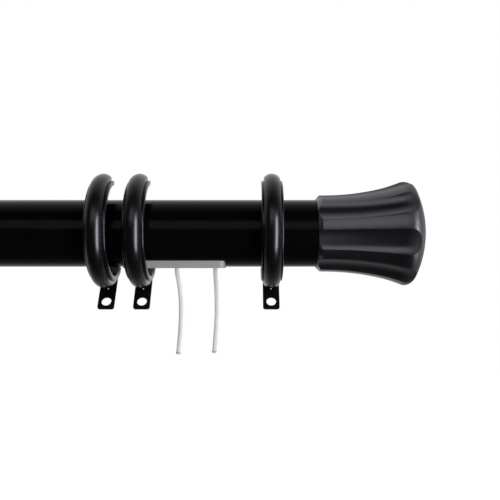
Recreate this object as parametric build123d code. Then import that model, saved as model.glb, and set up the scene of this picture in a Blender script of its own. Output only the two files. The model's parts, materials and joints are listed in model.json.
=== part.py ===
from build123d import *
import math
import os

# A decorative traverse curtain rod: a slotted tube with a track inside, C-shaped rings that ride
# on carriers in the slot at its lower back, a draw cord and a fluted finial at each end.
# Millimetres. X runs along the rod, -Y is the room side, Z is up. The origin is on the rod's axis.

# Rod tube
rod_diameter = 38.1
rod_wall = 1.0
rod_length = 711.2
slot_turn = 55.0
tube_fit = 0.1

# Track rail, drawn with its slot straight down and then turned to the rod's slot
rail_end_gap = 0.55
rail_half_width = 10.0
rail_top = -2.0
rail_wall = 1.4
rail_neck_half = 6.0
rail_slot_half = 4.0
rail_neck_flush = 0.06
rail_rivet_radius = 1.2
rail_rivet_head = 1.8
rail_rivet_inset = 12.0
rivet_head_height = 0.7

# Draw cord
cord_diameter = 2.7
cord_gap_half = 4.5
cord_turn_gap = 0.0045
cord_run_height = -6.0
cord_clearance = 0.4
hang_length = 49.3

# Rings and straps
ring_rod_gap = 6.65
ring_band_thickness = 2.8
ring_band_width = 11.9
ring_bead_width = 8.9
ring_bead_height = 4.0
ring_bead_side = 1.8
ring_rise = 1.4
ring_top_turn = 17.5
ring_tip_trim = 7.5
ring_end_margin = 4.0
band_edge = 0.8
strap_rod_gap = 5.25
strap_thickness = 1.0
strap_width = 9.5
strap_top = 5.0
strap_length = 35.3
strap_corner = 1.4
strap_head_corner = 3.8
eyelet_radius = 2.8
eyelet_reach = 30.4
pinhole_radius = 0.5
pinhole_reach = 21.8

# Places along the rod, counted from its end inwards, with the rings drawn open
end_ring_inset = 47.1
housing_ring_gap = 26.0
plain_ring_inset = 9.2
ring_spacing = 20.4

# Gliders and master carriers
glider_length = 12.0
glider_thickness = 3.0
glider_side_gap = 0.5
glider_lift = 0.3
glider_corner = 1.8
glider_edge = 0.6
stem_half_width = 3.6
stem_length = 8.0
stem_waist = 1.0
stem_waist_radius = 4.0
master_length = 18.0
master_top_gap = 0.5
clamp_screw_radius = 1.2
clamp_screw_head = 2.0
clamp_screw_head_height = 1.2
clamp_screw_place = 6.5

# Fasteners of the rings
strap_rivet_radius = 1.5
strap_rivet_head = 2.6
strap_rivet_depth = 6.0
ring_screw_radius = 1.2
ring_screw_head = 2.2
ring_screw_reach = 14.0
ring_screw_depth = 3.0
screw_head_height = 1.0
screw_head_round = 0.7
screw_clearance = 0.05

# End ring clamps
clamp_nut_half = 9.0
clamp_nut_gap = 0.3
clamp_nut_thickness = 3.0
clamp_nut_length = 14.0
clamp_neck_half = 5.6
clamp_saddle_half = 5.6
clamp_screw_depth = 11.0

# Cord-exit housing at the right end
housing_length = 39.0
housing_front = 11.1
housing_rear = 10.9
housing_proud = 0.45
housing_top = 7.0
housing_tongue_length = 17.5
housing_tongue_thickness = 3.0
housing_tongue_round = 1.35
housing_tongue_top = -9.0
housing_wall = 2.0
housing_nose = 3.2
housing_rib = 1.2
window_fit = 0.15
window_top = -5.0
front_exit_inset = 10.9
rear_exit_inset = 6.3

# Sheaves, return pulley and their pins
exit_sheave_pitch = 5.0
sheave_flange = 0.5
sheave_edge = 0.2
sheave_width = 3.6
sheave_side_gap = 0.25
sheave_rim_gap = 0.6
groove_gap = 0.3
pin_radius = 1.25
pin_running_fit = 0.05

# Return housing at the left end
return_housing_length = 37.5
return_pulley_inset = 9.0
return_pocket_extra = 1.0
return_pin_inset = 1.5
return_pin_grip = 6.0
end_chamfer = 0.5

# Housing screws
housing_screw_radius = 1.6
housing_screw_head = 3.0
housing_screw_depth = 6.0
housing_lug_half = 6.0
screw_tip_gap = 1.0

# Finials
finial_overlap = 22.0
finial_reach = 27.9
finial_collar_wall = 2.75
finial_mouth_chamfer = 2.2
finial_rim_flare = 7.7
finial_flare_power = 2.2
finial_cap_length = 11.0
finial_shoulder = 5.0
finial_shoulder_start = 109.5
finial_socket_fit = 0.15
flute_count = 8
flute_first_turn = 34.5
flute_radius = 12.0
flute_depth = 1.9
flute_deepening = 0.8
flute_run_out = 3.0
flute_lead_in = 4.0
insert_length = 16.0
insert_fit = 0.15
insert_boss_radius = 8.0
insert_boss_length = 10.0
set_screw_radius = 2.0
set_screw_inset = 13.6
set_screw_depth = 5.0
set_screw_tip_gap = 0.5
set_screw_sink = 0.6
set_screw_key_depth = 2.0

# Values worked out from the ones above
rod_radius = rod_diameter / 2
rod_inner = rod_radius - rod_wall
rod_half = rod_length / 2
cord_radius = cord_diameter / 2
ring_inner_radius = rod_radius + ring_rod_gap
strap_distance = rod_radius + strap_rod_gap
rail_shoulder = -math.sqrt((rod_inner - tube_fit) ** 2 - rail_half_width**2)
rail_neck_bottom = -math.sqrt(rod_radius**2 - rail_neck_half**2) + rail_neck_flush
rail_floor = rail_shoulder + rail_wall
rail_ceiling = rail_top - rail_wall
rail_inner_half = rail_half_width - rail_wall
glider_bottom = rail_floor + glider_lift
glider_half_width = rail_inner_half - glider_side_gap
stem_bottom = -strap_distance
strap_outer = -(strap_distance + strap_thickness)
turn = math.radians(slot_turn)
end_ring_place = rod_half - end_ring_inset
housing_right = end_ring_place - housing_ring_gap
housing_left = housing_right - housing_length
housing_tongue = housing_left - housing_tongue_length
housing_bottom = -rod_radius - housing_proud
housing_screw_place = (housing_left + housing_right) / 2
front_exit_place = housing_left + front_exit_inset
rear_exit_place = housing_right - rear_exit_inset
plain_ring_place = housing_left - plain_ring_inset
master_place = plain_ring_place - ring_spacing
finial_mouth = rod_half - finial_overlap
finial_collar_start = finial_mouth + finial_mouth_chamfer
finial_collar_radius = rod_radius + finial_collar_wall
finial_rim_place = rod_half + finial_reach
finial_rim_radius = finial_collar_radius + finial_rim_flare
set_screw_place = rod_half - set_screw_inset
# The shares of the way from the finial's collar to its rim at which its outline has points
flare_shares = (0.0, 0.2, 0.4, 0.6, 0.8)
# How far cutting tools reach past what they cut
margin = 1.0


def block(x0, x1, y0, y1, z0, z1):
    """A box between two corners."""
    return Pos((x0 + x1) / 2, (y0 + y1) / 2, (z0 + z1) / 2) * Box(x1 - x0, y1 - y0, z1 - z0)


def upright(x, y, z0, z1, radius):
    """A round bar along Z."""
    return Pos(x, y, (z0 + z1) / 2) * Cylinder(radius, z1 - z0)


def crosswise(x, z, y0, y1, radius):
    """A round bar along Y."""
    return Pos(x, (y0 + y1) / 2, z) * Rot(90, 0, 0) * Cylinder(radius, y1 - y0)


def lengthwise(x0, x1, radius):
    """A round bar along the rod's axis."""
    return Pos((x0 + x1) / 2, 0, 0) * Rot(0, 90, 0) * Cylinder(radius, x1 - x0)


def to_slot(shape):
    """Turn a shape drawn with the slot straight down to the slot's real direction."""
    return Rot(slot_turn, 0, 0) * shape


def cord_y(side):
    """Where a cord run lies across the rod, side +1 for the rear run and -1 for the front one."""
    return side * cord_gap_half * math.cos(turn) - cord_run_height * math.sin(turn)


def cord_z(side):
    """The height of a cord run."""
    return side * cord_gap_half * math.sin(turn) + cord_run_height * math.cos(turn)


front_sheave_x = front_exit_place - exit_sheave_pitch
rear_sheave_x = rear_exit_place - exit_sheave_pitch
front_sheave_z = cord_z(-1) - exit_sheave_pitch
rear_sheave_z = cord_z(1) - exit_sheave_pitch
return_pulley_x = -(housing_left + return_pulley_inset)
sheave_rim = exit_sheave_pitch + cord_radius + sheave_flange
return_rim = cord_gap_half + cord_radius + sheave_flange
rail_half_length = front_sheave_x - sheave_rim - rail_end_gap
sheave_pocket_half = sheave_width / 2 + sheave_side_gap


def make_rod_tube():
    """The tube, its full-length slot, the window of the exit housing and its screw holes."""
    tube = lengthwise(-rod_half, rod_half, rod_radius) - lengthwise(-rod_half, rod_half, rod_inner)
    slot_half = rail_neck_half + tube_fit
    tube -= to_slot(block(-rod_half, rod_half, -slot_half, slot_half, -rod_diameter, 0))
    tube -= block(
        housing_left - window_fit,
        housing_right + window_fit,
        -housing_front - window_fit,
        housing_rear + window_fit,
        -rod_diameter,
        window_top,
    )
    tube -= block(
        housing_tongue - window_fit,
        housing_left,
        -housing_front - window_fit,
        -housing_front + housing_tongue_thickness + window_fit,
        -rod_diameter,
        housing_tongue_top,
    )
    for place in (housing_screw_place, -housing_screw_place):
        tube -= crosswise(place, 0, 0, rod_diameter, housing_screw_radius + screw_clearance)
    for place in (set_screw_place, -set_screw_place):
        tube -= crosswise(place, 0, 0, rod_diameter, set_screw_radius + screw_clearance)
    for cut in rail_rivet_shanks(screw_clearance, rod_diameter):
        tube -= cut
    return tube


def rail_profile():
    """The rail's section: a box with a neck that sits in the tube's slot, slot straight down."""
    outer = [
        (-rail_half_width, rail_top),
        (rail_half_width, rail_top),
        (rail_half_width, rail_shoulder),
        (rail_neck_half, rail_shoulder),
        (rail_neck_half, rail_neck_bottom),
        (rail_slot_half, rail_neck_bottom),
        (rail_slot_half, rail_floor),
        (rail_inner_half, rail_floor),
        (rail_inner_half, rail_ceiling),
        (-rail_inner_half, rail_ceiling),
        (-rail_inner_half, rail_floor),
        (-rail_slot_half, rail_floor),
        (-rail_slot_half, rail_neck_bottom),
        (-rail_neck_half, rail_neck_bottom),
        (-rail_neck_half, rail_shoulder),
        (-rail_half_width, rail_shoulder),
    ]
    return Polygon(*outer, align=None)


def rail_rivet_angle():
    """How far a rail rivet sits round the tube from the middle of the slot."""
    return math.degrees(math.asin((rail_neck_half + rail_half_width) / 2 / rod_radius))


def at_rail_rivets(shape):
    """Copies of a shape that stands straight below the middle of the rod, at each rail rivet."""
    copies = []
    for place in (-rail_half_length + rail_rivet_inset, rail_half_length - rail_rivet_inset):
        for side in (-1, 1):
            copies.append(Pos(place, 0, 0) * Rot(slot_turn + side * rail_rivet_angle(), 0, 0) * shape)
    return copies


def rail_rivet_shanks(clearance, outer_end):
    """The shanks of the rail's rivets, or the holes that they pass."""
    inner_end = -rail_shoulder + rail_wall / 2
    return at_rail_rivets(upright(0, 0, -outer_end, -inner_end, rail_rivet_radius + clearance))


def make_rail_rivets():
    """Four pop rivets that hold the rail behind the slot's edges."""
    head = upright(0, 0, -rod_radius - rivet_head_height, -rod_radius, rail_rivet_head)
    head = chamfer(head.faces().sort_by(Axis.Z)[0].edges(), rivet_head_height / 2)
    pairs = zip(rail_rivet_shanks(0, rod_radius), at_rail_rivets(head))
    return [shank + rivet_head for shank, rivet_head in pairs]


def make_track_rail():
    """The extruded rail on whose two lips the gliders run."""
    profile = Plane.YZ.offset(-rail_half_length) * rail_profile()
    rail = to_slot(extrude(profile, 2 * rail_half_length, dir=(1, 0, 0)))
    for cut in rail_rivet_shanks(screw_clearance, rod_diameter):
        rail -= cut
    return rail


def ring_profile():
    """A ring's section: a flat band with softened edges and a rounded bead outside it."""
    band_outer = ring_inner_radius + ring_band_thickness
    band = Pos(0, ring_inner_radius + ring_band_thickness / 2) * RectangleRounded(
        ring_band_width, ring_band_thickness, band_edge
    )
    bead_half = ring_bead_width / 2
    bead_top = band_outer + ring_bead_height
    shoulder = band_outer + ring_bead_side
    outline = [
        Line((-bead_half, band_outer - band_edge), (bead_half, band_outer - band_edge)),
        Line((bead_half, band_outer - band_edge), (bead_half, shoulder)),
        ThreePointArc((bead_half, shoulder), (0, bead_top), (-bead_half, shoulder)),
        Line((-bead_half, shoulder), (-bead_half, band_outer - band_edge)),
    ]
    return band + make_face(outline)


def make_ring(place):
    """A C-shaped ring, open at the back, whose lower end is cut to lie on its strap."""
    cut_distance = strap_distance + ring_rise * math.cos(turn)
    end_from_slot = math.degrees(math.acos(cut_distance / ring_inner_radius)) - ring_end_margin
    lower_end = slot_turn - end_from_slot
    sweep = 360 - (180 - ring_top_turn - lower_end)
    ring = revolve(ring_profile(), Axis.X, sweep)
    # The section starts straight above the axis and turns towards the wall first.
    ring = Rot(360 - ring_top_turn - sweep, 0, 0) * ring
    ring = Pos(place, 0, ring_rise) * ring
    reach = 2 * rod_diameter
    below = block(place - reach, place + reach, -reach, reach, -reach, -strap_distance)
    tip = block(place - reach, place + reach, -ring_tip_trim, reach, -reach, -rod_radius)
    ring -= to_slot(below)
    ring -= to_slot(tip)
    ring -= to_slot(ring_screw_shank(place, screw_clearance))
    return ring


def ring_screw_shank(place, clearance):
    """The shank of the screw that goes through the strap into the ring's lower end."""
    top = -strap_distance + ring_screw_depth
    return upright(place, -ring_screw_reach, strap_outer, top, ring_screw_radius + clearance)


def make_ring_screw(place):
    """The ring's screw, head behind the strap."""
    head = upright(
        place, -ring_screw_reach, strap_outer - screw_head_height, strap_outer, ring_screw_head
    )
    head = fillet(head.faces().sort_by(Axis.Z)[0].edges(), screw_head_round)
    return to_slot(head + ring_screw_shank(place, 0))


def strap_rivet_shank(place, clearance, depth):
    """The shank that holds the strap on the stem of its carrier."""
    return upright(place, 0, strap_outer, stem_bottom + depth, strap_rivet_radius + clearance)


def make_strap_rivet(place, depth):
    """The rivet or screw through the strap into what carries it."""
    head = upright(place, 0, strap_outer - screw_head_height, strap_outer, strap_rivet_head)
    head = fillet(head.faces().sort_by(Axis.Z)[0].edges(), screw_head_round)
    return to_slot(head + strap_rivet_shank(place, 0, depth))


def make_strap(place):
    """The flat eyelet strap that carries a ring and the curtain's hook."""
    strap = block(
        place - strap_width / 2,
        place + strap_width / 2,
        -strap_length,
        strap_top,
        strap_outer,
        -strap_distance,
    )
    lower = strap.edges().filter_by(Axis.Z).sort_by(Axis.Y)[:2]
    strap = fillet(lower, strap_corner)
    upper = strap.edges().filter_by(Axis.Z).sort_by(Axis.Y)[-2:]
    strap = fillet(upper, strap_head_corner)
    strap -= upright(place, -eyelet_reach, strap_outer, -strap_distance, eyelet_radius)
    strap -= upright(place, -pinhole_reach, strap_outer, -strap_distance, pinhole_radius)
    strap -= ring_screw_shank(place, screw_clearance)
    strap -= strap_rivet_shank(place, screw_clearance, 0)
    return to_slot(strap)


def carrier_stem(place):
    """The waisted stem that reaches from a carrier through the slot to the strap."""
    stem = block(
        place - stem_length / 2,
        place + stem_length / 2,
        -stem_half_width,
        stem_half_width,
        stem_bottom,
        glider_bottom + glider_thickness / 2,
    )
    waist_z = (stem_bottom - rod_radius) / 2
    waist_offset = stem_length / 2 + stem_waist_radius - stem_waist
    for side in (-1, 1):
        stem -= crosswise(
            place + side * waist_offset,
            waist_z,
            -stem_half_width,
            stem_half_width,
            stem_waist_radius,
        )
    return stem


def make_glider(place):
    """A plain ring's glider, which slides on the rail's lips."""
    body = block(
        place - glider_length / 2,
        place + glider_length / 2,
        -glider_half_width,
        glider_half_width,
        glider_bottom,
        glider_bottom + glider_thickness,
    )
    body = fillet(body.edges().filter_by(Axis.Z), glider_corner)
    body = chamfer(body.faces().sort_by(Axis.Z)[-1].edges(), glider_edge)
    glider = body + carrier_stem(place)
    glider -= strap_rivet_shank(place, screw_clearance, strap_rivet_depth)
    return to_slot(glider)


def clamp_screw_parts(place, side, top, clearance):
    """The shank and head of the screw under a cord run, or the hole that takes them."""
    x = place + side * clamp_screw_place
    y = side * cord_gap_half
    shank = upright(x, y, glider_bottom, top, clamp_screw_radius + clearance)
    head_top = glider_bottom + clamp_screw_head_height
    return shank + upright(x, y, glider_bottom, head_top, clamp_screw_head + clearance)


def make_master_carrier(place, side):
    """The long carrier that the draw cord pulls, with a bore for each cord run."""
    body = block(
        place - master_length / 2,
        place + master_length / 2,
        -glider_half_width,
        glider_half_width,
        glider_bottom,
        rail_ceiling - master_top_gap,
    )
    body = fillet(body.edges().filter_by(Axis.Z), glider_corner)
    body = chamfer(body.faces().sort_by(Axis.Z)[-1].edges(), glider_edge)
    for run in (-1, 1):
        bore = Rot(0, 90, 0) * Cylinder(cord_radius + cord_clearance, master_length)
        body -= Pos(place, run * cord_gap_half, cord_run_height) * bore
    carrier = body + carrier_stem(place)
    carrier -= strap_rivet_shank(place, screw_clearance, strap_rivet_depth)
    carrier -= clamp_screw_parts(place, side, cord_run_height, screw_clearance)
    return to_slot(carrier)


def make_clamp_screw(place, side):
    """The screw that clamps the draw cord in a master carrier, drawn just clear of the cord."""
    top = cord_run_height - cord_radius - cord_clearance
    return to_slot(clamp_screw_parts(place, side, top, 0))


def make_clamp_nut(place):
    """The flanged nut inside the tube that holds an end ring in the slot."""
    flange_bottom = -math.sqrt((rod_inner - clamp_nut_gap) ** 2 - clamp_nut_half**2)
    half = clamp_nut_length / 2
    flange = block(
        place - half,
        place + half,
        -clamp_nut_half,
        clamp_nut_half,
        flange_bottom,
        flange_bottom + clamp_nut_thickness,
    )
    flange = fillet(flange.edges().filter_by(Axis.Z), glider_corner)
    neck_bottom = -rod_inner
    neck = block(
        place - half, place + half, -clamp_neck_half, clamp_neck_half, neck_bottom, flange_bottom
    )
    nut = flange + neck
    nut -= strap_rivet_shank(place, screw_clearance, strap_distance)
    return to_slot(nut)


def make_clamp_saddle(place):
    """The saddle between the tube and an end ring's strap."""
    half = stem_length / 2
    saddle = block(
        place - half, place + half, -clamp_saddle_half, clamp_saddle_half, stem_bottom, -rod_inner
    )
    saddle -= lengthwise(place - half, place + half, rod_radius + tube_fit)
    saddle -= strap_rivet_shank(place, screw_clearance, strap_distance)
    return to_slot(saddle)


def make_exit_housing():
    """The cast housing in the tube's window, whose two sheaves turn the cord downwards."""
    body = block(
        housing_left, housing_right, -housing_front, housing_rear, housing_bottom, housing_top
    )
    nose = body.edges().filter_by(Axis.Z).sort_by(Axis.X)[-2:]
    body = fillet(nose, housing_nose)
    tongue = block(
        housing_tongue,
        housing_left + housing_wall,
        -housing_front,
        -housing_front + housing_tongue_thickness,
        housing_bottom,
        housing_tongue_top,
    )
    tongue_end = tongue.edges().filter_by(Axis.Z).sort_by(Axis.X)[:2]
    tongue = fillet(tongue_end, housing_tongue_round)
    lug = block(
        housing_screw_place - housing_lug_half,
        housing_screw_place + housing_lug_half,
        housing_rear - housing_wall,
        rod_inner,
        -housing_lug_half / 2,
        housing_lug_half / 2,
    )
    lug &= lengthwise(housing_left, housing_right, rod_inner - tube_fit)
    housing = body + tongue + lug
    rib = cord_y(-1) - sheave_pocket_half - housing_rib
    housing -= block(
        housing_left - housing_wall,
        housing_right - housing_wall,
        -housing_front + housing_wall,
        rib,
        housing_bottom + housing_wall,
        housing_top + housing_wall,
    )
    pocket_half = sheave_rim + sheave_rim_gap
    front_y = cord_y(-1)
    rear_y = cord_y(1)
    housing -= block(
        housing_left - housing_wall,
        front_sheave_x + pocket_half,
        front_y - sheave_pocket_half,
        front_y + sheave_pocket_half,
        housing_bottom - housing_wall,
        front_sheave_z + pocket_half,
    )
    housing -= block(
        rear_sheave_x - pocket_half,
        rear_sheave_x + pocket_half,
        rear_y - sheave_pocket_half,
        rear_y + sheave_pocket_half,
        housing_bottom - housing_wall,
        rear_sheave_z + pocket_half,
    )
    housing -= block(
        housing_left - housing_wall,
        rear_sheave_x,
        rear_y - sheave_pocket_half,
        rear_y + sheave_pocket_half,
        cord_z(1) - sheave_pocket_half,
        rear_sheave_z + pocket_half,
    )
    for pin in exit_pin_shapes(screw_clearance):
        housing -= pin
    housing -= crosswise(
        housing_screw_place,
        0,
        housing_rear,
        rod_diameter,
        housing_screw_radius + screw_clearance,
    )
    return housing


def exit_pin_shapes(clearance):
    """The two axle pins of the exit sheaves, or the holes that hold them."""
    front_end = cord_y(-1) - sheave_pocket_half - housing_rib
    rear_end = housing_rear
    pins = []
    for x, z in ((front_sheave_x, front_sheave_z), (rear_sheave_x, rear_sheave_z)):
        pins.append(crosswise(x, z, front_end, rear_end, pin_radius + clearance))
    return pins


def sheave(pitch_radius, rim_radius):
    """A grooved wheel about Z, with a round groove for the cord and a bore for its pin."""
    wheel = Cylinder(rim_radius, sheave_width)
    wheel = chamfer(wheel.edges().filter_by(GeomType.CIRCLE), sheave_edge)
    groove = Torus(pitch_radius, cord_radius + groove_gap)
    outer = Cylinder(rim_radius + margin, 2 * (cord_radius + groove_gap))
    outer -= Cylinder(pitch_radius, sheave_width)
    bore = Cylinder(pin_radius + pin_running_fit, sheave_width)
    return wheel - groove - outer - bore


def make_exit_sheave(side, x, z):
    """One exit sheave in its place, its axle across the rod."""
    return Pos(x, cord_y(side), z) * Rot(90, 0, 0) * sheave(exit_sheave_pitch, sheave_rim)


def make_return_housing():
    """The round plug inside the tube's left end that holds the return pulley."""
    left = -housing_left - return_housing_length
    body = lengthwise(left, -housing_left, rod_inner - tube_fit)
    body = chamfer(body.edges().filter_by(GeomType.CIRCLE), end_chamfer)
    pocket_left = return_pulley_x - return_rim - return_pocket_extra
    pocket = block(
        pocket_left,
        0,
        -return_rim - return_pocket_extra,
        return_rim + return_pocket_extra,
        cord_run_height - sheave_pocket_half,
        cord_run_height + sheave_pocket_half,
    )
    body -= to_slot(pocket)
    body -= return_pin_shape(screw_clearance)
    body -= crosswise(
        -housing_screw_place,
        0,
        rod_inner - housing_screw_depth,
        rod_diameter,
        housing_screw_radius + screw_clearance,
    )
    return body


def return_pin_shape(clearance):
    """The return pulley's axle pin, pushed in from the slot side of the housing."""
    bottom = -rod_inner + return_pin_inset
    top = cord_run_height + sheave_pocket_half + return_pin_grip
    return to_slot(upright(return_pulley_x, 0, bottom, top, pin_radius + clearance))


def make_return_pulley():
    """The pulley that turns the cord back at the rod's far end."""
    wheel = sheave(cord_gap_half, return_rim)
    return to_slot(Pos(return_pulley_x, 0, cord_run_height) * wheel)


def make_housing_screws():
    """A pan-head screw through the tube's back into each end housing."""
    screws = []
    for place in (housing_screw_place, -housing_screw_place):
        tip = rod_inner - housing_screw_depth + screw_tip_gap
        shank = crosswise(place, 0, tip, rod_radius, housing_screw_radius)
        head = crosswise(place, 0, rod_radius, rod_radius + screw_head_height, housing_screw_head)
        head = fillet(head.faces().sort_by(Axis.Y)[-1].edges(), screw_head_round)
        screws.append(shank + head)
    return screws


def flare_radius(share):
    """The finial's radius at a share of the way from its collar to its rim."""
    return finial_collar_radius + finial_rim_flare * share**finial_flare_power


def flare_place(share):
    """The place along the rod at a share of the way from the collar to the rim."""
    return finial_collar_start + (finial_rim_place - finial_collar_start) * share


def around(centre, radius, angle):
    """The point of a circle at an angle in degrees from the rod's direction."""
    radians = math.radians(angle)
    return (centre[0] + radius * math.cos(radians), centre[1] + radius * math.sin(radians))


def finial_profile():
    """The half section of the right finial without its flutes."""
    mouth_radius = finial_collar_radius - finial_mouth_chamfer
    shoulder_height = finial_rim_radius - finial_shoulder
    shoulder_centre = (finial_rim_place, shoulder_height)
    # The dome is centred on the axis and runs on smoothly from the rounded shoulder.
    bulge = finial_cap_length**2 + shoulder_height**2 - finial_shoulder**2
    dome_radius = bulge / (2 * (finial_cap_length - finial_shoulder))
    dome_centre = (finial_rim_place + finial_cap_length - dome_radius, 0)
    dome_angle = math.degrees(math.asin(shoulder_height / (dome_radius - finial_shoulder)))
    shoulder = ThreePointArc(
        around(shoulder_centre, finial_shoulder, finial_shoulder_start),
        around(shoulder_centre, finial_shoulder, (finial_shoulder_start + dome_angle) / 2),
        around(shoulder_centre, finial_shoulder, dome_angle),
    )
    apex = (finial_rim_place + finial_cap_length, 0)
    dome = ThreePointArc(shoulder @ 1, around(dome_centre, dome_radius, dome_angle / 2), apex)
    points = [(flare_place(share), flare_radius(share)) for share in flare_shares]
    lines = [
        Line((finial_mouth, 0), (finial_mouth, mouth_radius)),
        Line((finial_mouth, mouth_radius), points[0]),
        Spline(*points, shoulder @ 0, tangents=[(1, 0), shoulder % 0]),
        shoulder,
        dome,
        Line(apex, (finial_mouth, 0)),
    ]
    return make_face(lines)


def flute_cutter():
    """A long round tool that follows the flare above the axis and runs out over the rim."""
    path_points = [(finial_mouth - flute_lead_in, finial_collar_radius + flute_radius - flute_depth)]
    for share in flare_shares[1:]:
        depth = flute_depth + flute_deepening * share
        path_points.append((flare_place(share), flare_radius(share) + flute_radius - depth))
    path_points.append((finial_rim_place + flute_run_out, finial_rim_radius + flute_radius))
    path = Spline(*path_points)
    start = Plane(origin=path @ 0, x_dir=(0, 0, 1), z_dir=path % 0)
    return sweep(start * Circle(flute_radius), path=path)


def make_finial():
    """The right finial: a fluted trumpet with a socket for the tube and its insert."""
    body = Rot(90, 0, 0) * revolve(finial_profile(), Axis.X, 360)
    socket_radius = rod_radius + finial_socket_fit
    body -= lengthwise(finial_mouth - margin, rod_half + finial_socket_fit, socket_radius)
    boss_end = rod_half + insert_boss_length + margin
    body -= lengthwise(rod_half, boss_end, insert_boss_radius + finial_socket_fit)
    body -= crosswise(set_screw_place, 0, 0, rod_diameter, set_screw_radius + screw_clearance)
    cutter = Rot(90, 0, 0) * flute_cutter()
    for number in range(flute_count):
        angle = 90 - flute_first_turn - number * 360 / flute_count
        body -= Rot(angle, 0, 0) * cutter
    return body


def make_finial_insert():
    """The plug in the tube's end whose boss carries the finial."""
    plug = lengthwise(rod_half - insert_length, rod_half, rod_inner - insert_fit)
    plug = chamfer(plug.edges().filter_by(GeomType.CIRCLE), end_chamfer)
    boss = lengthwise(rod_half - margin, rod_half + insert_boss_length, insert_boss_radius)
    insert = plug + boss
    insert -= crosswise(
        set_screw_place,
        0,
        rod_inner - set_screw_depth,
        rod_diameter,
        set_screw_radius + screw_clearance,
    )
    return insert


def make_set_screws():
    """A hexagon socket set screw at the back of each finial's collar."""
    socket_sides = 6
    screws = []
    for place in (set_screw_place, -set_screw_place):
        tip = rod_inner - set_screw_depth + set_screw_tip_gap
        outer_end = finial_collar_radius - set_screw_sink
        screw = crosswise(place, 0, tip, outer_end, set_screw_radius)
        socket = extrude(RegularPolygon(set_screw_radius / 2, socket_sides), set_screw_key_depth)
        screw -= Pos(place, outer_end, 0) * Rot(90, 0, 0) * socket
        screws.append(screw)
    return screws


def exit_arc_points(side, exit_x):
    """The corner and end of a cord run that goes over its exit sheave and down."""
    corner = (exit_x, cord_y(side), cord_z(side))
    lower = (exit_x, cord_y(side), housing_bottom)
    return corner, lower


def make_inner_cord():
    """The draw cord inside the rod, from one exit round the return pulley to the other."""
    front_corner, front_end = exit_arc_points(-1, front_exit_place)
    rear_corner, rear_end = exit_arc_points(1, rear_exit_place)
    left = return_pulley_x - cord_gap_half
    turn_front = (left, cord_y(-1), cord_z(-1))
    turn_rear = (left, cord_y(1), cord_z(1))
    # The two bends of the turn stop just short of each other.
    turn_radius = cord_gap_half - cord_turn_gap
    radii = [exit_sheave_pitch, turn_radius, turn_radius, exit_sheave_pitch]
    points = [front_end, front_corner, turn_front, turn_rear, rear_corner, rear_end]
    return cord_tube("inner cord", points, radii)


def cord_tube(name, points, radii):
    """A cord's tube along straight runs joined by tangent arcs, with its measures printed."""
    path = FilletPolyline(*points, radius=radii)
    start = Plane(origin=path @ 0, z_dir=path % 0)
    tube = sweep(start * Circle(cord_radius), path=path)
    expected = math.pi * cord_radius**2 * path.length
    shown = ", ".join(f"{radius:.1f}" for radius in radii)
    print(f"{name}: radii {shown}; length {path.length:.1f}; volume ratio {tube.volume / expected:.4f}")
    return tube


def bend_radii(points):
    """A radius for each corner of a free cord's route, where a bend takes up nearly half a leg."""
    leg_share = 0.45
    radii = []
    for before, corner, after in zip(points, points[1:], points[2:]):
        first = Vector(*corner) - Vector(*before)
        second = Vector(*after) - Vector(*corner)
        half_turn = math.radians(first.get_angle(second) / 2)
        radii.append(leg_share * min(first.length, second.length) / math.tan(half_turn))
    return radii


def make_hanging_cord(name, side, exit_x, sideways):
    """A hanging cord end, from the housing's underside to its cut tip."""
    points = []
    for drop, across, towards in sideways:
        height = housing_bottom - hang_length * drop
        points.append((exit_x + across, cord_y(side) + towards, height))
    return cord_tube(name, points, bend_radii(points))


def write(name, shape):
    """Write one node, a single solid or a group of separate solids."""
    if isinstance(shape, list):
        shape = Compound(children=[Part(piece.wrapped) for piece in shape])
    export_step(shape, f"parts/{name}.step")


# Each hanging end from the exit to the tip: the share of its drop, and how far it strays
# along the rod and towards the wall
front_end_sideways = [
    (0, 0, 0),
    (0.06, 0, 0),
    (0.16, 1.2, -0.1),
    (0.32, 2.3, -0.3),
    (0.52, 2.6, -0.4),
    (0.765, 2.0, -0.1),
    (1, 0.8, 0.3),
]
rear_end_sideways = [
    (0, 0, 0),
    (0.07, 0, 0),
    (0.19, 0.4, 0.1),
    (0.36, 0.8, 0.3),
    (0.56, 0.9, 0.4),
    (0.785, 0.2, 0.1),
    (1, -0.6, -0.3),
]

os.makedirs("parts", exist_ok=True)
write("rod_tube", make_rod_tube())
write("track_rail", make_track_rail())
write("rail_rivets", make_rail_rivets())
write("cord_exit_housing", make_exit_housing())
write("exit_axle_pins", exit_pin_shapes(0))
write("exit_sheave_front", make_exit_sheave(-1, front_sheave_x, front_sheave_z))
write("exit_sheave_rear", make_exit_sheave(1, rear_sheave_x, rear_sheave_z))
write("return_housing", make_return_housing())
write("return_axle_pin", return_pin_shape(0))
write("return_pulley", make_return_pulley())
write("housing_screws", make_housing_screws())
write("finial_set_screws", make_set_screws())
write("draw_cord_inner", make_inner_cord())
write("cord_end_left", make_hanging_cord("left end", -1, front_exit_place, front_end_sideways))
write("cord_end_right", make_hanging_cord("right end", 1, rear_exit_place, rear_end_sideways))

right_finial = make_finial()
right_insert = make_finial_insert()
write("finial_right", right_finial)
write("finial_left", mirror(right_finial, Plane.YZ))
write("finial_insert_right", right_insert)
write("finial_insert_left", mirror(right_insert, Plane.YZ))

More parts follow.
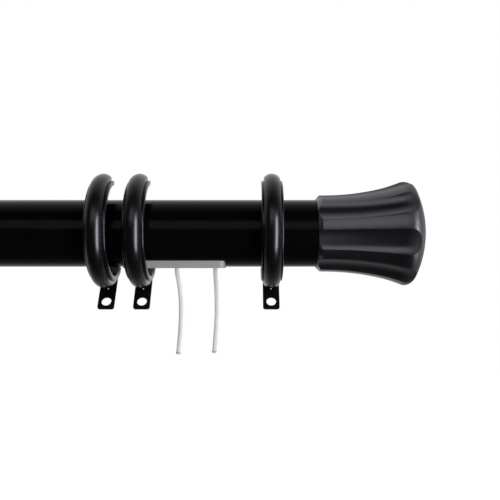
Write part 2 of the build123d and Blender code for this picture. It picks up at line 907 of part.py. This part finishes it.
end_screws = []
end_ring_screws = []
for word, side in (("right", 1), ("left", -1)):
    write(f"master_carrier_{word}", make_master_carrier(side * master_place, side))
    write(f"cord_clamp_screw_{word}", make_clamp_screw(side * master_place, side))
    write(f"master_ring_{word}", make_ring(side * master_place))
    write(f"master_strap_{word}", make_strap(side * master_place))
    write(f"master_rivet_{word}", make_strap_rivet(side * master_place, strap_rivet_depth))
    write(f"master_ring_screw_{word}", make_ring_screw(side * master_place))
    write(f"glider_{word}", make_glider(side * plain_ring_place))
    write(f"plain_ring_{word}", make_ring(side * plain_ring_place))
    write(f"plain_strap_{word}", make_strap(side * plain_ring_place))
    write(f"plain_rivet_{word}", make_strap_rivet(side * plain_ring_place, strap_rivet_depth))
    write(f"plain_ring_screw_{word}", make_ring_screw(side * plain_ring_place))
    write(f"end_clamp_nut_{word}", make_clamp_nut(side * end_ring_place))
    write(f"end_clamp_saddle_{word}", make_clamp_saddle(side * end_ring_place))
    write(f"end_ring_{word}", make_ring(side * end_ring_place))
    write(f"end_strap_{word}", make_strap(side * end_ring_place))
    end_screws.append(make_strap_rivet(side * end_ring_place, clamp_screw_depth))
    end_ring_screws.append(make_ring_screw(side * end_ring_place))
write("end_clamp_screws", end_screws)
write("end_ring_screws", end_ring_screws)
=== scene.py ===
import json
import math

import bpy
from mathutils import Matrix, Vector


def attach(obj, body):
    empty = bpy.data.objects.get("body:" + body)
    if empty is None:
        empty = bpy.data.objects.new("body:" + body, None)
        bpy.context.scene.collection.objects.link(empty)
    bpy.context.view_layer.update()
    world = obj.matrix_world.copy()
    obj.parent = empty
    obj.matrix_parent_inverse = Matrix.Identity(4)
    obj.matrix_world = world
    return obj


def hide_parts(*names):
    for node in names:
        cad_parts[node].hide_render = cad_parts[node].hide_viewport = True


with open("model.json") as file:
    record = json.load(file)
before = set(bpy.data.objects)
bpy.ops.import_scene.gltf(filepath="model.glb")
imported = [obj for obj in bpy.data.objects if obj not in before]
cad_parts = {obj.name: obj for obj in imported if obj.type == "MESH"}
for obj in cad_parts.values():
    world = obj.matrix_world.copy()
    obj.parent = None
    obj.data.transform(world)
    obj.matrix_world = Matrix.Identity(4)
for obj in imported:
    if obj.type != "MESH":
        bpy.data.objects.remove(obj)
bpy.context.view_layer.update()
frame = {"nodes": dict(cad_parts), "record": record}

# A decorative traverse curtain rod. Metres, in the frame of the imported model: X runs along the
# rod, -Y is the room side and Z is up. The origin is on the rod's axis.
MM = 0.001

# The photograph's frame: how its pixels map to the rod's upright plane, in pixels and millimetres
PHOTO_SIZE = 500
MM_PER_PIXEL = 0.57
ROD_CENTRE_ROW = 233.4
TUBE_END_COLUMN = 354.0
TUBE_END_X = 355.6
CAMERA_DISTANCE = 370.0
SENSOR_WIDTH = 36.0

# Driving sizes that the pieces here share with the solids, in millimetres and degrees
SLOT_TURN = 55.0
CORD_DIAMETER = 2.7
CORD_GAP_HALF = 4.5
CORD_RUN_HEIGHT = -6.0
HOUSING_BOTTOM = -19.5
HANG_LENGTH = 49.3
FRONT_EXIT_PLACE = 254.4
REAR_EXIT_PLACE = 276.2


def photo_x(column):
    """The place along the rod that a column of the photograph shows, in metres."""
    return (TUBE_END_X + (column - TUBE_END_COLUMN) * MM_PER_PIXEL) * MM


def photo_z(row):
    """The height that a row of the photograph shows, in metres."""
    return (ROD_CENTRE_ROW - row) * MM_PER_PIXEL * MM


def make_camera():
    """A camera level with the photograph's middle, looking straight at the wall side."""
    data = bpy.data.cameras.new("camera")
    camera = bpy.data.objects.new("camera", data)
    bpy.context.scene.collection.objects.link(camera)
    middle = PHOTO_SIZE / 2
    camera.location = (photo_x(middle), -CAMERA_DISTANCE * MM, photo_z(middle))
    camera.rotation_euler = (math.radians(90), 0, 0)
    data.sensor_width = SENSOR_WIDTH
    data.lens = SENSOR_WIDTH * CAMERA_DISTANCE / (PHOTO_SIZE * MM_PER_PIXEL)
    bpy.context.scene.camera = camera


make_camera()


# Materials

# The heights of the finest reliefs, in metres
PEEL_RELIEF = 0.00002
GRAIN_RELIEF = 0.00003
MOULD_RELIEF = 0.00002
FIBRE_RELIEF = 0.00005
# The range that holds most of a noise's values
NOISE_LOW = 0.3
NOISE_HIGH = 0.7
# The faint violet of what the enamel reflects, and the cord's faint sheen
ENAMEL_TINT = (0.95, 0.93, 1.0, 1)
CORD_SHEEN = 0.1
# Where the finials' caps begin to turn matt and where they are fully so, in millimetres from the
# rod's middle, and the roughness that this adds
CAP_START = 378.0
CAP_MATT = 388.0
CAP_ROUGHENING = 0.34


def new_material(name):
    """An empty node material and its shader."""
    material = bpy.data.materials.new(name)
    material.use_nodes = True
    shader = material.node_tree.nodes["Principled BSDF"]
    return material, material.node_tree, shader


def noise(tree, scale, detail, stretch=(1, 1, 1)):
    """A noise in the object's own frame, its scale counted in waves per metre."""
    coordinates = tree.nodes.new("ShaderNodeTexCoord")
    mapping = tree.nodes.new("ShaderNodeMapping")
    mapping.inputs["Scale"].default_value = stretch
    texture = tree.nodes.new("ShaderNodeTexNoise")
    texture.inputs["Scale"].default_value = scale
    texture.inputs["Detail"].default_value = detail
    tree.links.new(coordinates.outputs["Object"], mapping.inputs["Vector"])
    tree.links.new(mapping.outputs["Vector"], texture.inputs["Vector"])
    return texture.outputs["Fac"]


def spread(tree, value, low, high):
    """A noise's value spread between two others."""
    node = tree.nodes.new("ShaderNodeMapRange")
    node.inputs["From Min"].default_value = NOISE_LOW
    node.inputs["From Max"].default_value = NOISE_HIGH
    node.inputs["To Min"].default_value = low
    node.inputs["To Max"].default_value = high
    tree.links.new(value, node.inputs["Value"])
    return node.outputs["Result"]


def tint(tree, value, first, second):
    """A colour between two others."""
    node = tree.nodes.new("ShaderNodeMix")
    node.data_type = "RGBA"
    node.inputs["A"].default_value = (*first, 1)
    node.inputs["B"].default_value = (*second, 1)
    tree.links.new(value, node.inputs["Factor"])
    return node.outputs["Result"]


def bump(tree, shader, value, strength, distance):
    """A fine relief, its distance in metres."""
    node = tree.nodes.new("ShaderNodeBump")
    node.inputs["Strength"].default_value = strength
    node.inputs["Distance"].default_value = distance
    tree.links.new(value, node.inputs["Height"])
    tree.links.new(node.outputs["Normal"], shader.inputs["Normal"])


def wander(tree, shader, colour_noise, rough_noise, dark, light, roughness):
    """Let a finish's colour and roughness wander, each with a noise."""
    tree.links.new(tint(tree, colour_noise, dark, light), shader.inputs["Base Color"])
    tree.links.new(spread(tree, rough_noise, *roughness), shader.inputs["Roughness"])


def enamel(name, dark, light, roughness, peel, specular=0.5, index=1.5):
    """Sprayed black enamel: a little orange peel, and roughness that wanders."""
    material, tree, shader = new_material(name)
    wide = noise(tree, scale=90, detail=3)
    fine = noise(tree, scale=900, detail=2)
    wander(tree, shader, wide, fine, dark, light, roughness)
    shader.inputs["Specular IOR Level"].default_value = specular
    shader.inputs["Specular Tint"].default_value = ENAMEL_TINT
    shader.inputs["IOR"].default_value = index
    bump(tree, shader, fine, peel, PEEL_RELIEF)
    return material


def matt_towards_the_cap(material):
    """Roughen a finish towards the finials' caps, counted from the rod's middle."""
    tree = material.node_tree
    shader = tree.nodes["Principled BSDF"]
    coordinates = tree.nodes.new("ShaderNodeTexCoord")
    split = tree.nodes.new("ShaderNodeSeparateXYZ")
    distance = tree.nodes.new("ShaderNodeMath")
    distance.operation = "ABSOLUTE"
    ramp = tree.nodes.new("ShaderNodeMapRange")
    ramp.interpolation_type = "SMOOTHSTEP"
    ramp.inputs["From Min"].default_value = CAP_START * MM
    ramp.inputs["From Max"].default_value = CAP_MATT * MM
    ramp.inputs["To Max"].default_value = CAP_ROUGHENING
    total = tree.nodes.new("ShaderNodeMath")
    tree.links.new(coordinates.outputs["Object"], split.inputs["Vector"])
    tree.links.new(split.outputs["X"], distance.inputs[0])
    tree.links.new(distance.outputs["Value"], ramp.inputs["Value"])
    tree.links.new(shader.inputs["Roughness"].links[0].from_socket, total.inputs[0])
    tree.links.new(ramp.outputs["Result"], total.inputs[1])
    tree.links.new(total.outputs["Value"], shader.inputs["Roughness"])


def metal(name, dark, light, roughness, grain, metallic=1.0, stretch=(1, 1, 1)):
    """Bare metal with a grain."""
    material, tree, shader = new_material(name)
    shader.inputs["Metallic"].default_value = metallic
    texture = noise(tree, scale=1500, detail=5, stretch=stretch)
    wander(tree, shader, texture, texture, dark, light, roughness)
    bump(tree, shader, texture, grain, GRAIN_RELIEF)
    return material


def plastic(name, dark, light, roughness):
    """Moulded plastic with a faint change of sheen."""
    material, tree, shader = new_material(name)
    texture = noise(tree, scale=400, detail=4)
    wander(tree, shader, texture, texture, dark, light, roughness)
    bump(tree, shader, texture, strength=0.15, distance=MOULD_RELIEF)
    return material


def braid_yarn(name, dark, light):
    """Polyester yarn of the draw cord; the cord's core uses it darkened, as painted shade."""
    material, tree, shader = new_material(name)
    fibres = noise(tree, scale=6000, detail=3, stretch=(1, 1, 0.25))
    wander(tree, shader, fibres, fibres, dark, light, roughness=(0.55, 0.8))
    shader.inputs["Sheen Weight"].default_value = CORD_SHEEN
    bump(tree, shader, fibres, strength=0.4, distance=FIBRE_RELIEF)
    return material


ROD_BLACK = enamel(
    "rod_black",
    dark=(0.0010, 0.0010, 0.0012),
    light=(0.0022, 0.0022, 0.0026),
    roughness=(0.16, 0.22),
    peel=0.04,
    specular=0.135,
)
RING_BLACK = enamel(
    "ring_black",
    dark=(0.0016, 0.0012, 0.0018),
    light=(0.0036, 0.0028, 0.0040),
    roughness=(0.26, 0.27),
    peel=0.006,
    specular=0.8,
)
STRAP_BLACK = enamel(
    "strap_black",
    dark=(0.0010, 0.0010, 0.0014),
    light=(0.0028, 0.0028, 0.0034),
    roughness=(0.36, 0.5),
    peel=0.2,
    specular=0.3,
)
FINIAL_BLACK = enamel(
    "finial_black",
    dark=(0.0020, 0.0018, 0.0028),
    light=(0.0042, 0.0036, 0.0055),
    roughness=(0.25, 0.26),
    peel=0.006,
    specular=0.96,
    index=1.8,
)
matt_towards_the_cap(FINIAL_BLACK)
SCREW_BLACK = enamel(
    "screw_black",
    dark=(0.012, 0.012, 0.013),
    light=(0.03, 0.03, 0.033),
    roughness=(0.3, 0.5),
    peel=0.2,
)
ZINC = metal(
    "zinc",
    dark=(0.31, 0.31, 0.28),
    light=(0.40, 0.40, 0.365),
    roughness=(0.5, 0.7),
    grain=0.3,
    metallic=0.25,
)
RAIL = metal(
    "rail_aluminium",
    dark=(0.55, 0.56, 0.57),
    light=(0.68, 0.69, 0.7),
    roughness=(0.3, 0.45),
    grain=0.2,
    stretch=(0.02, 1, 1),
)
STEEL = metal(
    "steel",
    dark=(0.5, 0.5, 0.5),
    light=(0.65, 0.65, 0.65),
    roughness=(0.25, 0.4),
    grain=0.1,
)
NYLON = plastic(
    "nylon",
    dark=(0.74, 0.73, 0.69),
    light=(0.82, 0.81, 0.78),
    roughness=(0.35, 0.5),
)
BLACK_PLASTIC = plastic(
    "black_plastic",
    dark=(0.012, 0.012, 0.013),
    light=(0.022, 0.022, 0.024),
    roughness=(0.4, 0.55),
)
CORD_WHITE = braid_yarn("cord_white", dark=(0.83, 0.83, 0.85), light=(0.91, 0.91, 0.93))
# The core's near black is painted shade: it stands for the shadow in the gaps between the strands, not
# for the yarn's colour
CORE_PAINTED_SHADE = braid_yarn("core_painted_shade", dark=(0.04, 0.04, 0.045), light=(0.08, 0.08, 0.09))
CORD_TIP = plastic(
    "cord_tip",
    dark=(0.42, 0.41, 0.40),
    light=(0.60, 0.59, 0.58),
    roughness=(0.3, 0.45),
)

MATERIAL_OF_SLOT = {
    "rod_black": ROD_BLACK,
    "ring_black": RING_BLACK,
    "strap_black": STRAP_BLACK,
    "finial_black": FINIAL_BLACK,
    "black_screw": SCREW_BLACK,
    "zinc": ZINC,
    "rail_aluminium": RAIL,
    "steel": STEEL,
    "nylon": NYLON,
    "black_plastic": BLACK_PLASTIC,
    "cord_white": CORD_WHITE,
}

# Each solid takes the finish that the record's material slot names.
for subpart in frame["record"]["subparts"]:
    for slot in frame["nodes"][subpart["node"]].material_slots:
        slot.material = MATERIAL_OF_SLOT[subpart["material_slot"]]


# The hanging cord ends

# Each end from the exit to the tip: the share of its drop, and how far it strays along the rod
# and towards the wall, in millimetres
FRONT_ROUTE = [
    (0, 0, 0),
    (0.06, 0, 0),
    (0.16, 1.2, -0.1),
    (0.32, 2.3, -0.3),
    (0.52, 2.6, -0.4),
    (0.765, 2.0, -0.1),
    (1, 0.8, 0.3),
]
REAR_ROUTE = [
    (0, 0, 0),
    (0.07, 0, 0),
    (0.19, 0.4, 0.1),
    (0.36, 0.8, 0.3),
    (0.56, 0.9, 0.4),
    (0.785, 0.2, 0.1),
    (1, -0.6, -0.3),
]
# The order of the route's spline, and its points per span
ROUTE_ORDER = 3
ROUTE_RESOLUTION = 24
# The braid, in millimetres: as many strands wind one way as the other, round a core painted dark as the
# shade in the weave's gaps
BRAID_STRANDS = 6
BRAID_PITCH = 8.1
BRAID_STEP = 0.19
STRAND_HALF_WIDTH = 0.34
STRAND_HALF_THICKNESS = 0.19
STRAND_SIDES = 6
WEAVE_DEPTH = 0.17
CORE_RADIUS = 0.8
CORE_SIDES = 12
# The melted tip: its outline as places past the cord's end and radii there, in millimetres, and
# the waves round it
TIP_PROFILE = [(-0.8, 1.37), (-0.2, 1.36), (0.2, 1.18), (0.45, 0.8), (0.58, 0.3)]
TIP_SIDES = 20
TIP_WAVES = 3
TIP_WAVE_SHARE = 0.03
# How far a sum of lengths may fall short by rounding, in metres
ROUNDING = 1e-9


def cord_depth(side):
    """Where a cord leaves the housing across the rod, side +1 for the rear one, in millimetres."""
    turn = math.radians(SLOT_TURN)
    return side * CORD_GAP_HALF * math.cos(turn) - CORD_RUN_HEIGHT * math.sin(turn)


def route_points(route, exit_place, side):
    """The route's points in metres."""
    points = []
    for drop, across, towards in route:
        height = HOUSING_BOTTOM - HANG_LENGTH * drop
        point = Vector((exit_place + across, cord_depth(side) + towards, height))
        points.append(point * MM)
    return points


def spline_points(points):
    """Points close together along the NURBS spline that the route's points control."""
    curve = bpy.data.curves.new("route", "CURVE")
    curve.dimensions = "3D"
    curve.resolution_u = ROUTE_RESOLUTION
    spline = curve.splines.new("NURBS")
    spline.points.add(len(points) - 1)
    for knot, point in zip(spline.points, points):
        knot.co = (*point, 1)
    spline.order_u = ROUTE_ORDER
    spline.use_endpoint_u = True
    guide = bpy.data.objects.new("route", curve)
    bpy.context.scene.collection.objects.link(guide)
    graph = bpy.context.evaluated_depsgraph_get()
    mesh = bpy.data.meshes.new_from_object(guide.evaluated_get(graph))
    line = [vertex.co.copy() for vertex in mesh.vertices]
    bpy.data.objects.remove(guide)
    bpy.data.curves.remove(curve)
    bpy.data.meshes.remove(mesh)
    return line


def path_length(line):
    """The length of a line of points."""
    return sum((b - a).length for a, b in zip(line, line[1:]))


def even_points(line, step):
    """The same line with its points evenly spaced, about a step apart."""
    total = path_length(line)
    count = max(2, round(total / step))
    result = [line[0].copy()]
    travelled = 0.0
    wanted = total / count
    for start, end in zip(line, line[1:]):
        run = (end - start).length
        while run > 0 and travelled + run >= wanted - ROUNDING and len(result) <= count:
            result.append(start.lerp(end, (wanted - travelled) / run))
            wanted += total / count
        travelled += run
    result[-1] = line[-1].copy()
    return result


def frames_along(line):
    """A direction and two side directions at each point, turned as little as they can be."""
    frames = []
    side = Vector((0, 1, 0))
    for number in range(len(line)):
        before = line[max(0, number - 1)]
        after = line[min(len(line) - 1, number + 1)]
        forward = (after - before).normalized()
        side = (side - forward * side.dot(forward)).normalized()
        frames.append((forward, side, forward.cross(side)))
    return frames


def corner_turns(sides):
    """The angles of the corners of a ring of vertices."""
    return [2 * math.pi * corner / sides for corner in range(sides)]


def tube_faces(rings, sides, first):
    """The side faces and two end caps of a tube made of rings of vertices."""
    faces = []
    for ring in range(rings - 1):
        for side in range(sides):
            a = first + ring * sides + side
            b = first + ring * sides + (side + 1) % sides
            faces.append((a, b, b + sides, a + sides))
    faces.append(tuple(first + side for side in reversed(range(sides))))
    last = first + (rings - 1) * sides
    faces.append(tuple(last + side for side in range(sides)))
    return faces


def mesh_piece(name, vertices, faces, body, material):
    """A smooth mesh, linked as a piece of a body."""
    mesh = bpy.data.meshes.new(name)
    mesh.from_pydata(vertices, [], faces)
    mesh.update()
    mesh.materials.append(material)
    for polygon in mesh.polygons:
        polygon.use_smooth = True
    piece = bpy.data.objects.new(name, mesh)
    bpy.context.scene.collection.objects.link(piece)
    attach(piece, body)
    return piece


def sealed_tip(name, end, forward):
    """The melted and greyed end that keeps a cord from fraying."""
    side = forward.orthogonal().normalized()
    other = forward.cross(side)
    vertices = []
    for along, radius in TIP_PROFILE:
        for turn in corner_turns(TIP_SIDES):
            uneven = radius * (1 + TIP_WAVE_SHARE * math.cos(TIP_WAVES * turn))
            offset = forward * along + (side * math.cos(turn) + other * math.sin(turn)) * uneven
            vertices.append(end + offset * MM)
    faces = tube_faces(len(TIP_PROFILE), TIP_SIDES, 0)
    return mesh_piece(name, vertices, faces, "rod", CORD_TIP)


def strand_vertices(line, axes, strand, way):
    """One flat strand, which winds one way (+1 or -1) and goes over and under the others."""
    total = path_length(line)
    middle = CORD_DIAMETER / 2 - STRAND_HALF_THICKNESS - WEAVE_DEPTH
    slant = math.atan2(2 * math.pi * middle, BRAID_PITCH)
    vertices = []
    for number, (point, (forward, right, up)) in enumerate(zip(line, axes)):
        along = total * number / (len(line) - 1) / MM
        angle = 2 * math.pi * (strand / BRAID_STRANDS + way * along / BRAID_PITCH)
        wave = math.cos(2 * math.pi * BRAID_STRANDS * along / BRAID_PITCH)
        radius = middle + way * WEAVE_DEPTH * wave
        out = right * math.cos(angle) + up * math.sin(angle)
        round_way = up * math.cos(angle) - right * math.sin(angle)
        width_way = round_way * math.cos(slant) - forward * math.sin(slant) * way
        for turn in corner_turns(STRAND_SIDES):
            offset = out * (radius + STRAND_HALF_THICKNESS * math.sin(turn))
            offset += width_way * STRAND_HALF_WIDTH * math.cos(turn)
            vertices.append(point + offset * MM)
    return vertices


def core_vertices(line, axes):
    """The round core inside the strands, whose near-black finish is painted shade for the weave's gaps.
    """
    vertices = []
    for point, (_, right, up) in zip(line, axes):
        for turn in corner_turns(CORE_SIDES):
            offset = (right * math.cos(turn) + up * math.sin(turn)) * CORE_RADIUS * MM
            vertices.append(point + offset)
    return vertices


def braided_cord(name, route, exit_place, side, replaced):
    """A hanging cord end of woven strands round a core, along the route's own spline."""
    line = even_points(spline_points(route_points(route, exit_place, side)), BRAID_STEP * MM)
    axes = frames_along(line)
    vertices = []
    faces = []
    for way in (-1, 1):
        for strand in range(BRAID_STRANDS):
            faces += tube_faces(len(line), STRAND_SIDES, len(vertices))
            vertices += strand_vertices(line, axes, strand, way)
    first_core_face = len(faces)
    faces += tube_faces(len(line), CORE_SIDES, len(vertices))
    vertices += core_vertices(line, axes)
    piece = mesh_piece(name, vertices, faces, "rod", CORD_WHITE)
    # The core's near-black finish is painted shade for the gaps between the strands
    piece.data.materials.append(CORE_PAINTED_SHADE)
    for polygon in piece.data.polygons[first_core_face:]:
        polygon.material_index = 1
    tip = sealed_tip(name + "_tip", line[-1], axes[-1][0])
    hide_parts(replaced)


braided_cord("front_cord_end", FRONT_ROUTE, FRONT_EXIT_PLACE, -1, "cord_end_left")
braided_cord("rear_cord_end", REAR_ROUTE, REAR_EXIT_PLACE, 1, "cord_end_right")


# Studio

# The floor, in metres
FLOOR_DROP = 0.85
FLOOR_SIZE = 8.0
# The floor's paper, and how strongly it glows where it is looked at
PAPER_GREY = 0.8
PAPER_CHANGE = 0.03
PAPER_ROUGHNESS = 0.9
FLOOR_GLOW = 0.8
# The reflected room goes from dark in front to white behind, between these places along Y: in
# metres on the floor, and as parts of a direction in the world
ROOM_DARK = 0.02
FLOOR_DARK_Y = -0.1
FLOOR_WHITE_Y = 2.8
WORLD_DARK_Y = -0.3
WORLD_WHITE_Y = 1.0
WHITE = (1, 1, 1, 1)
LAMP_COLOUR = (0.95, 0.97, 1.0)


def seen_as_background(tree, rays):
    """1 for the kinds of rays that are to show the background, and 0 for the rest."""
    path = tree.nodes.new("ShaderNodeLightPath")
    total = path.outputs[rays[0]]
    for ray in rays[1:]:
        larger = tree.nodes.new("ShaderNodeMath")
        larger.operation = "MAXIMUM"
        tree.links.new(total, larger.inputs[0])
        tree.links.new(path.outputs[ray], larger.inputs[1])
        total = larger.outputs["Value"]
    return total


def ramp_along_y(tree, output, start, end):
    """A value that climbs from the dark room to white along a vector's Y."""
    coordinates = tree.nodes.new("ShaderNodeTexCoord")
    split = tree.nodes.new("ShaderNodeSeparateXYZ")
    tree.links.new(coordinates.outputs[output], split.inputs["Vector"])
    ramp = tree.nodes.new("ShaderNodeMapRange")
    ramp.inputs["From Min"].default_value = start
    ramp.inputs["From Max"].default_value = end
    ramp.inputs["To Min"].default_value = ROOM_DARK
    ramp.inputs["To Max"].default_value = 1.0
    tree.links.new(split.outputs["Y"], ramp.inputs["Value"])
    return ramp.outputs["Result"]


def floor_material():
    """Pale paper that keeps a shadow, and that glows to white only where it is looked at."""
    material, tree, shader = new_material("studio_paper")
    grain = noise(tree, scale=40, detail=3)
    pale = [PAPER_GREY] * 3
    paler = [PAPER_GREY + PAPER_CHANGE] * 3
    tree.links.new(tint(tree, grain, pale, paler), shader.inputs["Base Color"])
    shader.inputs["Roughness"].default_value = PAPER_ROUGHNESS
    shader.inputs["Specular IOR Level"].default_value = 0.0
    glow = tree.nodes.new("ShaderNodeEmission")
    shown = tree.nodes.new("ShaderNodeMath")
    shown.operation = "MULTIPLY"
    shown.inputs[1].default_value = FLOOR_GLOW
    tree.links.new(seen_as_background(tree, ["Is Camera Ray", "Is Transmission Ray"]), shown.inputs[0])
    tree.links.new(shown.outputs["Value"], glow.inputs["Strength"])
    both = tree.nodes.new("ShaderNodeAddShader")
    tree.links.new(shader.outputs["BSDF"], both.inputs[0])
    tree.links.new(glow.outputs["Emission"], both.inputs[1])
    mirrored = tree.nodes.new("ShaderNodeEmission")
    mirrored_room = ramp_along_y(tree, "Object", FLOOR_DARK_Y, FLOOR_WHITE_Y)
    tree.links.new(mirrored_room, mirrored.inputs["Strength"])
    mix = tree.nodes.new("ShaderNodeMixShader")
    tree.links.new(seen_as_background(tree, ["Is Glossy Ray"]), mix.inputs["Fac"])
    tree.links.new(both.outputs["Shader"], mix.inputs[1])
    tree.links.new(mirrored.outputs["Emission"], mix.inputs[2])
    tree.links.new(mix.outputs["Shader"], tree.nodes["Material Output"].inputs["Surface"])
    return material


def make_floor():
    """A plain pale floor under the rod."""
    mesh = bpy.data.meshes.new("floor")
    half = FLOOR_SIZE / 2
    corners = [(-half, -half), (half, -half), (half, half), (-half, half)]
    mesh.from_pydata([(x, y, -FLOOR_DROP) for x, y in corners], [], [(0, 1, 2, 3)])
    mesh.materials.append(floor_material())
    floor = bpy.data.objects.new("floor", mesh)
    bpy.context.scene.collection.objects.link(floor)


def make_world():
    """White to the camera, and a soft room that is dark in front and white behind the rod."""
    world = bpy.data.worlds.new("studio")
    bpy.context.scene.world = world
    world.use_nodes = True
    tree = world.node_tree
    tree.nodes.clear()
    room = tree.nodes.new("ShaderNodeBackground")
    room.inputs["Color"].default_value = WHITE
    room_light = ramp_along_y(tree, "Generated", WORLD_DARK_Y, WORLD_WHITE_Y)
    tree.links.new(room_light, room.inputs["Strength"])
    white = tree.nodes.new("ShaderNodeBackground")
    white.inputs["Color"].default_value = WHITE
    white.inputs["Strength"].default_value = 1.0
    mix = tree.nodes.new("ShaderNodeMixShader")
    tree.links.new(seen_as_background(tree, ["Is Camera Ray", "Is Transmission Ray"]), mix.inputs["Fac"])
    tree.links.new(room.outputs["Background"], mix.inputs[1])
    tree.links.new(white.outputs["Background"], mix.inputs[2])
    output = tree.nodes.new("ShaderNodeOutputWorld")
    tree.links.new(mix.outputs["Shader"], output.inputs["Surface"])


def softbox(name, azimuth, rise, distance, width, height, radiance):
    """A rectangular soft lamp that faces the middle of the view.

    It stands at an azimuth from straight in front, positive to the right, and at a rise above the
    level, in degrees. Its distance and sides are in metres.
    """
    data = bpy.data.lights.new(name, "AREA")
    data.shape = "RECTANGLE"
    data.size = width
    data.size_y = height
    data.energy = radiance * math.pi * width * height
    data.color = LAMP_COLOUR
    lamp = bpy.data.objects.new(name, data)
    aim = Vector((photo_x(PHOTO_SIZE / 2), 0, 0))
    turn = math.radians(azimuth)
    lift = math.radians(rise)
    toward = Vector((math.sin(turn) * math.cos(lift), -math.cos(turn) * math.cos(lift), math.sin(lift)))
    lamp.location = aim + toward * distance
    lamp.rotation_euler = (-toward).to_track_quat("-Z", "Y").to_euler()
    bpy.context.scene.collection.objects.link(lamp)


make_floor()
make_world()
softbox("right_softbox", azimuth=40, rise=-6, distance=1.2, width=0.5, height=1.35, radiance=7.0)
softbox("front_softbox", azimuth=-7, rise=28, distance=1.2, width=1.1, height=0.55, radiance=0.62)
bpy.context.scene.view_settings.view_transform = "Standard"
